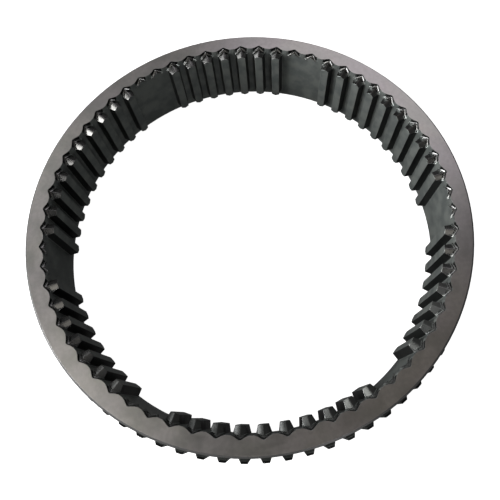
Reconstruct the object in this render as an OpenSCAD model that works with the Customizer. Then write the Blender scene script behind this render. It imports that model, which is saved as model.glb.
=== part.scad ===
// Sliding sleeve of a gearbox: one hardened steel ring that slides along a splined hub.
// The bore carries groups of internal teeth with roof-shaped ends, the outside a plain
// flange, a groove for the shift fork and a band of external teeth.
// The axis is Z. The lower face lies at z = 0 and the ground end face is on top.

/* [Bore and internal teeth] */
// Diameter across the tips of the internal teeth
bore_tip_d = 158.5; // [150:0.5:170]
// Height of an internal tooth from tip to root
tooth_h = 3.35; // [2.6:0.05:4]
// Width of an internal tooth across its tip
tooth_tip_w = 3.2; // [2.4:0.1:3.6]
// Slope of an internal tooth's flank from its centre line, in degrees
tooth_flank = 17; // [10:1:22]
// Teeth in each long group
long_group = 10; // [9:1:11]
// Teeth in each short group
short_group = 7; // [6:1:8]
// Teeth left out between two groups
gap_teeth = 2; // [1:1:2]

/* [Pointed tooth ends] */
// Reach of a pocket's point into the end face, beyond the tooth root
pocket_reach = 1.7; // [1:0.1:2.4]
// Width of a pocket where it opens into the bore
pocket_mouth_w = 6.6; // [5.8:0.1:7]
// Depth of the roof's ridge at the pocket's point, below the end face
ridge_depth = 1.2; // [0.6:0.1:1.8]
// Fall of the ridge from the pocket's point to the tooth tip
ridge_fall = 0.8; // [0.2:0.1:1.6]
// Slope of each roof side at its ridge, in degrees
ridge_slope = 20; // [14:1:26]
// Slope of each roof side at the pocket's wall, in degrees
edge_slope = 37; // [30:1:42]
// Distance of the tooth points at the other end from the lower face
lower_setback = 3.2; // [1.5:0.1:6]
// Slope of the flat roof sides at the other end, in degrees
lower_slope = 28; // [18:1:38]

/* [Rim and fork groove] */
// Wall between the tooth root and the bottom of the fork groove
rim_wall = 3.4; // [2.8:0.1:6]
// Depth of the fork groove below the flange
groove_depth = 4; // [2.5:0.1:6]
// Width of the fork groove along the axis
groove_w = 7.3; // [5:0.1:10]
// Fillet at the bottom corners of the fork groove
groove_fillet = 0.8; // [0.4:0.1:1.2]
// Thickness of the flange under the ground end face
flange_t = 4.5; // [3.6:0.1:7]
// Chamfer on the flange and on the lower edge of the bore
edge_chamfer = 0.8; // [0.3:0.1:1.2]

/* [External teeth] */
// Number of external teeth
ext_count = 72; // [66:1:75]
// Height of an external tooth from root to tip
ext_tooth_h = 5.5; // [4:0.1:6.5]
// Width of an external tooth across its tip
ext_tip_w = 2.5; // [1.8:0.1:2.8]
// Slope of an external tooth's flank from its centre line, in degrees
ext_flank = 20; // [14:1:22]
// Radius of the curved flank of an external tooth
ext_flank_r = 30; // [20:1:50]
// Length of the external teeth along the axis
ext_face_w = 22.2; // [14:0.1:30]
// Step from the bottom of the fork groove up to the external tooth root
root_step = 1; // [0.4:0.1:1.8]
// Chamfer at both ends of the external teeth
ext_chamfer = 1; // [0.4:0.1:1.8]
// Turn of the external teeth from the middle of a long group, in degrees
ext_turn = 2.1; // [0:0.1:5]

/* [Hidden] */
$fn = 180;

// Tooth positions round the bore: three equal sectors of a long and a short group
sectors = 3;
sector_positions = long_group + short_group + 2 * gap_teeth;
position_count = sectors * sector_positions;
pitch_angle = 360 / position_count;
front_angle = -90;

// Radii from the bore outwards
tip_r = bore_tip_d / 2;
root_r = tip_r + tooth_h;
pocket_r = root_r + pocket_reach;
groove_r = root_r + rim_wall;
flange_r = groove_r + groove_depth;
ext_root_r = groove_r + root_step;
ext_tip_r = ext_root_r + ext_tooth_h;

// Heights from the lower face upwards
groove_top_z = ext_face_w + groove_w;
sleeve_h = groove_top_z + flange_t;

// Radius of the crowned sides of a roof
crown_r = pocket_mouth_w / 2 / (sin(edge_slope) - sin(ridge_slope));

// Overlap of joined solids and overshoot of cutting tools
joint = 0.6;
over = 1;

// Point where a pocket's straight wall bends round into the crest between two pockets,
// as shares of the half mouth and of the reach
bend_across = 0.62;
bend_inward = 0.72;

// Angle of a tooth position, counted from the first tooth of the front long group
function position_angle(i) = front_angle + (i - (long_group - 1) / 2) * pitch_angle;

// True where a position carries a tooth, false in the plain gaps
function has_tooth(i) =
    let (k = i % sector_positions)
    k < long_group || (k >= long_group + gap_teeth && k < sector_positions - gap_teeth);

// Outline of the blank from the bore to the outside, in radius and height
module blank_section() {
    c = edge_chamfer;
    difference() {
        polygon([
            [root_r + c, 0],
            [ext_root_r, 0],
            [ext_root_r, ext_face_w],
            [flange_r, ext_face_w],
            [flange_r, sleeve_h - c],
            [flange_r - c, sleeve_h],
            [root_r, sleeve_h],
            [root_r, c]
        ]);
        groove_section();
    }
}

// Fork groove with filleted bottom corners, open to the outside
module groove_section() {
    f = groove_fillet;
    depth = flange_r + over - groove_r;
    translate([groove_r + f, ext_face_w]) square([depth - f, groove_w]);
    translate([groove_r, ext_face_w + f]) square([2 * f, groove_w - 2 * f]);
    for (z = [ext_face_w + f, groove_top_z - f])
        translate([groove_r + f, z]) circle(f, $fn = 32);
}

// Section of a pointed roof with crowned sides, its ridge at the origin
module roof_section(half_w) {
    aside = crown_r * sin(ridge_slope);
    down = crown_r * cos(ridge_slope);
    intersection() {
        translate([-half_w, -down]) square([2 * half_w, 2 * down]);
        translate([-aside, -down]) circle(crown_r);
        translate([aside, -down]) circle(crown_r);
    }
}

// External tooth in plan along +X, with curved flanks
module external_tooth_plan() {
    inner_r = ext_root_r - joint;
    mid_r = (ext_root_r + ext_tip_r) / 2;
    mid_half = (ext_tip_w + ext_tooth_h * tan(ext_flank)) / 2;
    chord = ext_tooth_h / cos(ext_flank);
    to_centre = sqrt(pow(ext_flank_r, 2) - pow(chord / 2, 2));
    centre_x = mid_r - to_centre * sin(ext_flank);
    centre_y = mid_half - to_centre * cos(ext_flank);
    intersection() {
        translate([inner_r, -ext_root_r]) square([ext_tip_r + over - inner_r, 2 * ext_root_r]);
        translate([centre_x, centre_y]) circle(ext_flank_r);
        translate([centre_x, -centre_y]) circle(ext_flank_r);
    }
}

// Band of external teeth, chamfered at both ends
module external_teeth() {
    c = ext_chamfer;
    inner_r = ext_root_r - joint - over;
    intersection() {
        linear_extrude(ext_face_w)
            for (i = [0 : ext_count - 1])
                rotate(front_angle + ext_turn + i * 360 / ext_count) external_tooth_plan();
        rotate_extrude()
            polygon([
                [inner_r, 0],
                [ext_tip_r - c, 0],
                [ext_tip_r, c],
                [ext_tip_r, ext_face_w - c],
                [ext_tip_r - c, ext_face_w],
                [inner_r, ext_face_w]
            ]);
    }
}

// One internal tooth along +X, rooted in the rim, its lower end pointed like a roof
module internal_tooth() {
    inner_r = tip_r - joint;
    outer_r = root_r + joint;
    half_tip = tooth_tip_w / 2;
    half_root = half_tip + (outer_r - inner_r) * tan(tooth_flank);
    wide = half_root + over;
    intersection() {
        linear_extrude(sleeve_h)
            polygon([
                [inner_r, -half_tip],
                [outer_r, -half_root],
                [outer_r, half_root],
                [inner_r, half_tip]
            ]);
        rotate([90, 0, 90])
            linear_extrude(outer_r + over)
                polygon([
                    [0, lower_setback],
                    [wide, lower_setback + wide * tan(lower_slope)],
                    [wide, sleeve_h],
                    [-wide, sleeve_h],
                    [-wide, lower_setback + wide * tan(lower_slope)]
                ]);
    }
}

// Pocket in the end face along +X: straight walls that meet in a point towards the rim,
// over a roof-shaped floor that leaves a ridge along the middle of the tooth
module pocket() {
    half_w = pocket_mouth_w / 2;
    mouth_r = sqrt(pow(root_r, 2) - pow(half_w, 2));
    bend_r = pocket_r - bend_inward * (pocket_r - mouth_r);
    inner_r = tip_r - over;
    ridge_l = pocket_r - tip_r;
    difference() {
        translate([0, 0, sleeve_h - ridge_depth - crown_r / 2])
            linear_extrude(ridge_depth + crown_r / 2 + over)
                polygon([
                    [inner_r, -half_w],
                    [mouth_r, -half_w],
                    [bend_r, -bend_across * half_w],
                    [pocket_r, 0],
                    [bend_r, bend_across * half_w],
                    [mouth_r, half_w],
                    [inner_r, half_w]
                ]);
        translate([pocket_r, 0, sleeve_h - ridge_depth])
            rotate([0, -atan(ridge_fall / ridge_l), 0])
                rotate([90, 0, 90])
                    translate([0, 0, -2 * ridge_l])
                        linear_extrude(3 * ridge_l)
                            roof_section(half_w + over);
    }
}

// The whole sleeve, cut from one blank
module sliding_sleeve() {
    color("dimgray")
        difference() {
            union() {
                rotate_extrude() blank_section();
                external_teeth();
                for (i = [0 : position_count - 1])
                    if (has_tooth(i)) rotate(position_angle(i)) internal_tooth();
            }
            translate([0, 0, -over]) cylinder(r = tip_r, h = sleeve_h + 2 * over);
            for (i = [0 : position_count - 1])
                rotate(position_angle(i)) pocket();
        }
}

sliding_sleeve();
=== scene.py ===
from math import cos, pi, radians, sin

import bpy
from mathutils import Matrix, Vector


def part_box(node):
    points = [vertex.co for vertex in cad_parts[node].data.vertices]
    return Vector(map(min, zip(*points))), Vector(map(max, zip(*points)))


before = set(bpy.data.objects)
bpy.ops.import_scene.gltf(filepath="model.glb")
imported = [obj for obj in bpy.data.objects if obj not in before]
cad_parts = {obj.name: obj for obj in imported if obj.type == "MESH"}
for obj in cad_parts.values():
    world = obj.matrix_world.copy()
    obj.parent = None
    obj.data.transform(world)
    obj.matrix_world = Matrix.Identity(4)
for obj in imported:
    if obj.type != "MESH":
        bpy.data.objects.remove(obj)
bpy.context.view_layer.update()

# The sliding sleeve: one hardened steel ring. It is turned, toothed and blackened, and the
# upper end face is ground bright afterwards, so that only this face is bare metal.
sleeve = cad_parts["sliding_sleeve"]
sleeve_low, sleeve_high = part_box("sliding_sleeve")
face_height = sleeve_high.z
face_slack = 0.00001
face_rims = [v.co.xy.length for v in sleeve.data.vertices if v.co.z > face_height - face_slack]
face_outer_radius = max(face_rims)
root_radius = 0.0826
pocket_radius = 0.0846
pocket_depth = 0.0045

# Its edges: tool radii stay in the inside corners, widest in the pockets, and tumbling breaks
# the outside ones, least along the ground face. Each width is a share of the widest radius.
corner_radius = 0.0009
corner_segments = 4
weld_distance = 0.000002
edge_bend = 0.35
lying_run = 0.0001
face_edge_depth = 0.0001
inside_share = 0.25
floor_share = 0.75
point_share = 0.50
broken_share = 0.17
ground_share = 0.11

dressing = bpy.data.node_groups.new("edge_widths", "GeometryNodeTree")
dressing.interface.new_socket("Mesh", in_out="INPUT", socket_type="NodeSocketGeometry")
dressing.interface.new_socket("Mesh", in_out="OUTPUT", socket_type="NodeSocketGeometry")


def feed(tree, socket, value):
    if hasattr(value, "is_output"):
        tree.links.new(value, socket)
    else:
        socket.default_value = value


def work_out(tree, operation, first, second=0.0):
    step = tree.nodes.new("ShaderNodeMath")
    step.operation = operation
    feed(tree, step.inputs[0], first)
    feed(tree, step.inputs[1], second)
    return step.outputs[0]


def take_apart(tree, vector):
    step = tree.nodes.new("ShaderNodeSeparateXYZ")
    feed(tree, step.inputs[0], vector)
    return step.outputs["X"], step.outputs["Y"], step.outputs["Z"]


def flat_length(tree, x, y):
    square_x = work_out(tree, "POWER", x, 2)
    square_y = work_out(tree, "POWER", y, 2)
    return work_out(tree, "SQRT", work_out(tree, "ADD", square_x, square_y))


def dress(operation, first, second):
    return work_out(dressing, operation, first, second)


bend = dressing.nodes.new("GeometryNodeInputMeshEdgeAngle").outputs["Signed Angle"]
inward = dress("LESS_THAN", bend, -edge_bend)
outward = dress("GREATER_THAN", bend, edge_bend)
spot = dressing.nodes.new("GeometryNodeInputPosition").outputs[0]
spot_x, spot_y, spot_z = take_apart(dressing, spot)
in_height = dress("GREATER_THAN", spot_z, face_height - pocket_depth)
in_reach = dress("LESS_THAN", flat_length(dressing, spot_x, spot_y), pocket_radius)
at_face = dress("GREATER_THAN", spot_z, face_height - face_edge_depth)
ends = dressing.nodes.new("GeometryNodeInputMeshEdgeVertices")
first_x, first_y, _ = take_apart(dressing, ends.outputs["Position 1"])
second_x, second_y, _ = take_apart(dressing, ends.outputs["Position 2"])
run_x = dress("SUBTRACT", first_x, second_x)
run_y = dress("SUBTRACT", first_y, second_y)
lying = dress("GREATER_THAN", flat_length(dressing, run_x, run_y), lying_run)
pocket_corner = dress("MULTIPLY", inward, dress("MULTIPLY", in_height, in_reach))
floor_corner = dress("MULTIPLY", pocket_corner, lying)
point_corner = dress("SUBTRACT", pocket_corner, floor_corner)
floors = dress("MULTIPLY", floor_corner, floor_share)
points = dress("MULTIPLY", point_corner, point_share)
inside = dress("MULTIPLY", inward, inside_share)
broken = dress("SUBTRACT", broken_share, dress("MULTIPLY", at_face, ground_share))
outside = dress("MULTIPLY", outward, broken)
share = dress("ADD", dress("ADD", dress("ADD", floors, points), inside), outside)

welded = dressing.nodes.new("GeometryNodeMergeByDistance")
welded.inputs["Distance"].default_value = weld_distance
stored = dressing.nodes.new("GeometryNodeStoreNamedAttribute")
stored.data_type = "FLOAT"
stored.domain = "EDGE"
stored.inputs["Name"].default_value = "bevel_weight_edge"
whole = dressing.nodes.new("NodeGroupInput").outputs[0]
dressing.links.new(whole, welded.inputs["Geometry"])
dressing.links.new(welded.outputs[0], stored.inputs["Geometry"])
dressing.links.new(share, stored.inputs["Value"])
dressing.links.new(stored.outputs[0], dressing.nodes.new("NodeGroupOutput").inputs[0])

widths = sleeve.modifiers.new("Edge widths", "NODES")
widths.node_group = dressing
rounding = sleeve.modifiers.new("Rounded edges", "BEVEL")
rounding.width = corner_radius
rounding.segments = corner_segments
rounding.limit_method = "WEIGHT"
rounding.use_clamp_overlap = False
rounding.loop_slide = False
shading = sleeve.modifiers.new("Flat faces stay flat", "WEIGHTED_NORMAL")
shading.weight = 100
shading.keep_sharp = True

# Its steel: black oxide over the whole ring, rubbed thin on the roof-shaped tooth ends, and
# bare satin metal on the ground face, with a faint round lay, stains and fine specks.
oxide_dark = (0.195, 0.215, 0.210, 1)
oxide_pale = (0.280, 0.302, 0.288, 1)
oxide_black_and_shade = (0.011, 0.012, 0.012, 1)
oxide_bright = (0.14, 0.14, 0.14, 1)
corner_glint = (0.50, 0.50, 0.50, 1)
thin_oxide = (0.20, 0.20, 0.20, 1)
rubbed = (0.24, 0.24, 0.238, 1)
ground_grey = (0.508, 0.504, 0.480, 1)
ground_warm = (0.610, 0.588, 0.555, 1)
ground_lilac = (0.560, 0.520, 0.555, 1)
ground_speck = (0.420, 0.410, 0.395, 1)
oxide_ior = 1.33
oxide_metal = (0.50, 0.90)
oxide_roughness = (0.30, 0.38)
ground_roughness = (0.295, 0.335)
lay_roughness = (-0.01, 0.01)
end_polish = 0.12
fillet_polish = 0.11
bloom_share = 0.45
speck_share = 0.30
noise_cut = (0.35, 0.65)

steel = bpy.data.materials.new("blackened_steel")
steel.use_nodes = True
tree = steel.node_tree
shader = tree.nodes["Principled BSDF"]


def steel_math(operation, first, second=0.0):
    return work_out(tree, operation, first, second)


def steel_product(first, *others):
    for other in others:
        first = steel_math("MULTIPLY", first, other)
    return first


def steel_most(first, *others):
    for other in others:
        first = steel_math("MAXIMUM", first, other)
    return first


def steel_rest(mask):
    return steel_math("SUBTRACT", 1.0, mask)


def steel_band(value, low, high):
    step = tree.nodes.new("ShaderNodeMapRange")
    step.interpolation_type = "SMOOTHSTEP"
    tree.links.new(value, step.inputs["Value"])
    step.inputs["From Min"].default_value = low
    step.inputs["From Max"].default_value = high
    return step.outputs["Result"]


def steel_range(value, low, high):
    step = tree.nodes.new("ShaderNodeMapRange")
    tree.links.new(value, step.inputs["Value"])
    step.inputs["To Min"].default_value = low
    step.inputs["To Max"].default_value = high
    return step.outputs["Result"]


def steel_mix(mask, first, second, kind="RGBA"):
    step = tree.nodes.new("ShaderNodeMix")
    step.data_type = kind
    tree.links.new(mask, step.inputs["Factor"])
    feed(tree, step.inputs["A"], first)
    feed(tree, step.inputs["B"], second)
    return step.outputs["Result"]


def steel_noise(vector, scale, detail):
    step = tree.nodes.new("ShaderNodeTexNoise")
    step.inputs["Scale"].default_value = scale
    step.inputs["Detail"].default_value = detail
    tree.links.new(vector, step.inputs["Vector"])
    return steel_band(step.outputs["Fac"], *noise_cut)


place = tree.nodes.new("ShaderNodeTexCoord").outputs["Object"]
place_x, place_y, height = take_apart(tree, place)
radius = flat_length(tree, place_x, place_y)
normal = tree.nodes.new("ShaderNodeNewGeometry").outputs["Normal"]
facing_x, facing_y, upward = take_apart(tree, normal)


def steel_depth(deep, shallow):
    return steel_band(height, face_height - deep, face_height - shallow)


def steel_toward(way_x, way_y):
    across = steel_math("MULTIPLY", place_x, way_x)
    along = steel_math("MULTIPLY", place_y, way_y)
    return steel_math("DIVIDE", steel_math("ADD", across, along), radius)


# Where each finish lies: by the depth below the face, by the radius and by the slope.
ground_skin = (0.00010, 0.00003)
level_slopes = (0.97, 0.995)
on_face = steel_product(steel_depth(*ground_skin), steel_band(upward, *level_slopes))
chamfer_start = 0.0001
chamfer_depths = (0.0010, 0.0008)
past_face = steel_band(radius, face_outer_radius - chamfer_start, face_outer_radius)
chamfer = steel_product(past_face, steel_depth(*chamfer_depths))
pocket_bottom = (0.0065, 0.0050)
pocket_top = (0.0008, 0.0005)
in_pocket = steel_product(steel_depth(*pocket_bottom), steel_rest(steel_depth(*pocket_top)))
roof_slopes = (0.72, 0.79)
fillet_slopes = (0.25, 0.40)
gentle = steel_band(upward, *roof_slopes)
steep = steel_rest(gentle)
inner_side = steel_math("LESS_THAN", radius, pocket_radius)
tooth_ends = steel_product(gentle, in_pocket, inner_side)
pocket_fillets = steel_product(steel_band(upward, *fillet_slopes), steep, in_pocket)

# Painted shade darkens the tooth ends at the front; painted glints brighten the pockets to the
# right.
front_way = (0.10, -0.995)
front_reach = (0.45, 0.80)
front_shade_share = 0.82
front_painted_shade = steel_product(steel_band(steel_toward(*front_way), *front_reach), front_shade_share)
rubbing_with_front_shade = steel_product(tooth_ends, steel_rest(front_painted_shade))
right_way = (0.866, -0.5)
right_reach = (0.78, 0.94)
right_painted_glints = steel_band(steel_toward(*right_way), *right_reach)

# Oxide is deepest on the pocket walls; tooth flanks get painted shade, the upright outside
# painted light.
outer_start = 0.0005
upright_slopes = (0.45, 0.65)
outer_side = steel_band(radius, pocket_radius, pocket_radius + outer_start)
outer_upright = steel_product(outer_side, steel_rest(steel_band(upward, *upright_slopes)))
other_steep = steel_product(steep, steel_rest(outer_upright))
# Faces turned across the radius, the tooth flanks, are blackened as painted shade.
flank_turns = (0.4, 0.7)
flank_shade_share = 0.95
along_radius = steel_math("ABSOLUTE", steel_toward(facing_x, facing_y))
across_radius = steel_rest(steel_band(along_radius, *flank_turns))
flank_shade = steel_product(across_radius, other_steep, flank_shade_share)
wall_start = 0.0001
wall_full = 0.0003
past_root = steel_band(radius, root_radius + wall_start, root_radius + wall_full)
walls = steel_product(other_steep, past_root)
outer_oxide = 0.78
# Upright outer faces lose part of that black, as a painted reflection of the pale floor.
outer_painted_light = 0.48
outer_full = steel_product(outer_side, outer_oxide)
outer_coat_and_light = steel_math("SUBTRACT", outer_full, steel_product(outer_upright, outer_painted_light))
# Tooth ends keep some oxide everywhere, and more at the front as painted shade.
end_oxide = 0.60
end_coat_and_shade = steel_product(tooth_ends, steel_math("MAXIMUM", end_oxide, front_painted_shade))
# Black share: real oxide, painted shade on flanks and front ends, painted light on the upright
# outside.
oxide_and_painted_light = steel_most(flank_shade, walls, outer_coat_and_light, end_coat_and_shade)
polished = steel_product(pocket_fillets, oxide_and_painted_light)

lay_rings = 30.0
lay_turns = 0.3
lay_place = tree.nodes.new("ShaderNodeCombineXYZ")
angle = steel_math("ARCTAN2", place_y, place_x)
tree.links.new(steel_product(radius, lay_rings), lay_place.inputs["X"])
tree.links.new(steel_product(angle, lay_turns), lay_place.inputs["Y"])
lay = steel_noise(lay_place.outputs[0], scale=24.0, detail=0.0)
stain = steel_noise(place, scale=110.0, detail=4.0)
bloom = steel_noise(place, scale=55.0, detail=2.0)
patches = steel_noise(place, scale=160.0, detail=2.0)
specks = steel_noise(place, scale=620.0, detail=1.0)

coat_and_shade = steel_mix(oxide_and_painted_light, steel_mix(patches, oxide_dark, oxide_pale), oxide_black_and_shade)
# Pocket corners to the right get a brighter colour, as painted glints.
corner_colour_and_glints = steel_mix(right_painted_glints, oxide_bright, corner_glint)
oxide_shade_and_glints = steel_mix(polished, coat_and_shade, corner_colour_and_glints)
dark = steel_mix(chamfer, steel_mix(rubbing_with_front_shade, oxide_shade_and_glints, rubbed), thin_oxide)
stained = steel_mix(stain, ground_grey, ground_warm)
tinted = steel_mix(steel_product(bloom, bloom_share), stained, ground_lilac)
ground = steel_mix(steel_product(specks, speck_share), tinted, ground_speck)
tree.links.new(steel_mix(on_face, dark, ground), shader.inputs["Base Color"])

metal = steel_most(on_face, rubbing_with_front_shade, steel_range(polished, *oxide_metal))
tree.links.new(metal, shader.inputs["Metallic"])

ends_smooth = steel_product(tooth_ends, end_polish)
fillets_smooth = steel_product(pocket_fillets, fillet_polish)
smooth = steel_most(ends_smooth, fillets_smooth)
dark_rough = steel_math("SUBTRACT", steel_range(patches, *oxide_roughness), smooth)
lay_rough = steel_range(lay, *lay_roughness)
ground_rough = steel_math("ADD", steel_range(stain, *ground_roughness), lay_rough)
rough = steel_mix(on_face, dark_rough, ground_rough, "FLOAT")
tree.links.new(rough, shader.inputs["Roughness"])
shader.inputs["IOR"].default_value = oxide_ior
sleeve.data.materials.clear()
sleeve.data.materials.append(steel)

# The floor: a plain pale sheet under the sleeve, turned up far away on all four sides. It
# glows, so that it stays white, and it is kept out of the reflections in the steel.
floor_half = 3.0
turned_up = 3.0
floor_gap = 0.0001
floor_pale = (0.9, 0.9, 0.9, 1)
floor_white = (1, 1, 1, 1)
floor_glow = 1.0
floor_corners = [
    (-floor_half, -floor_half),
    (floor_half, -floor_half),
    (floor_half, floor_half),
    (-floor_half, floor_half),
]
floor_mesh = bpy.data.meshes.new("floor")
floor_mesh.from_pydata(
    [(x, y, z) for z in (0, turned_up) for x, y in floor_corners],
    [],
    [(0, 1, 2, 3)] + [(i, i + 4, (i + 1) % 4 + 4, (i + 1) % 4) for i in range(4)],
)
floor = bpy.data.objects.new("floor", floor_mesh)
floor.location.z = sleeve_low.z - floor_gap
floor.visible_diffuse = False
floor.visible_glossy = False
floor.visible_shadow = False
bpy.context.scene.collection.objects.link(floor)
pale = bpy.data.materials.new("pale_floor")
pale.use_nodes = True
pale_shader = pale.node_tree.nodes["Principled BSDF"]
pale_shader.inputs["Base Color"].default_value = floor_pale
pale_shader.inputs["Emission Color"].default_value = floor_white
pale_shader.inputs["Emission Strength"].default_value = floor_glow
floor_mesh.materials.append(pale)

# The light: soft panels over the left side, the back and the front of a dim room. Each has a
# compass angle from +X, a height angle, a distance, a width, a brightness and a colour.
room_white = (1, 1, 1, 1)
room_glow = 0.05
world = bpy.data.worlds.new("studio")
bpy.context.scene.world = world
world.use_nodes = True
room = world.node_tree.nodes["Background"]
room.inputs["Color"].default_value = room_white
room.inputs["Strength"].default_value = room_glow
panels = {
    "key": (197, 46, 1.0, 0.40, 6.4, (1.0, 0.99, 0.96)),
    "left_back": (140, 36, 1.0, 0.28, 2.4, (1.0, 1.0, 1.0)),
    "high_left": (172, 67, 1.0, 0.25, 0.66, (1.0, 0.98, 0.86)),
    "low_left": (188, 12, 1.0, 0.50, 15.0, (1.0, 1.0, 1.0)),
    "low_back": (167, 30, 1.0, 0.28, 7.0, (1.0, 1.0, 1.0)),
    "back": (65, 53, 1.0, 0.62, 0.84, (0.99, 0.945, 0.99)),
    "top_left": (122, 57, 1.0, 0.50, 0.29, (1.0, 0.98, 0.97)),
    "right": (355, 74, 1.0, 0.50, 0.085, (1.0, 0.84, 0.70)),
    "front": (275, 60, 1.0, 0.35, 0.88, (1.0, 0.95, 0.86)),
    "low_front": (288, 14, 1.0, 0.22, 9.0, (1.0, 1.0, 1.0)),
}
for name, (compass, rise, distance, width, brightness, colour) in panels.items():
    panel_data = bpy.data.lights.new(name, "AREA")
    panel_data.shape = "DISK"
    panel_data.size = width
    panel_data.color = colour
    panel_data.energy = brightness * pi * pi * width * width / 4
    panel = bpy.data.objects.new(name, panel_data)
    turn_angle, rise_angle = radians(compass), radians(rise)
    flat = cos(rise_angle)
    toward = Vector((flat * cos(turn_angle), flat * sin(turn_angle), sin(rise_angle)))
    panel.location = toward * distance
    panel.rotation_euler = toward.to_track_quat("Z", "Y").to_euler()
    bpy.context.scene.collection.objects.link(panel)

# The camera: it hangs over the near half of the bore and looks down and away from the front,
# slightly rolled, with a wide lens, as the sleeve was photographed.
camera_data = bpy.data.cameras.new("camera")
camera_data.sensor_width = 36
camera_data.lens = 36.12
camera_data.shift_x = -0.0030
camera_data.shift_y = -0.0588
camera = bpy.data.objects.new("camera", camera_data)
bpy.context.scene.collection.objects.link(camera)
bpy.context.scene.camera = camera
camera_place = Vector((0.00135, -0.07753, 0.22134))
look = Vector((0.0033, 0.3675, -0.930)).normalized()
up_hint = Vector((0.1375, 0.9210, 0.3644))
right = look.cross(up_hint).normalized()
up = right.cross(look)
turn = Matrix((right, up, -look)).transposed()
camera.matrix_world = Matrix.Translation(camera_place) @ turn.to_4x4()
bpy.context.scene.view_settings.view_transform = "Standard"
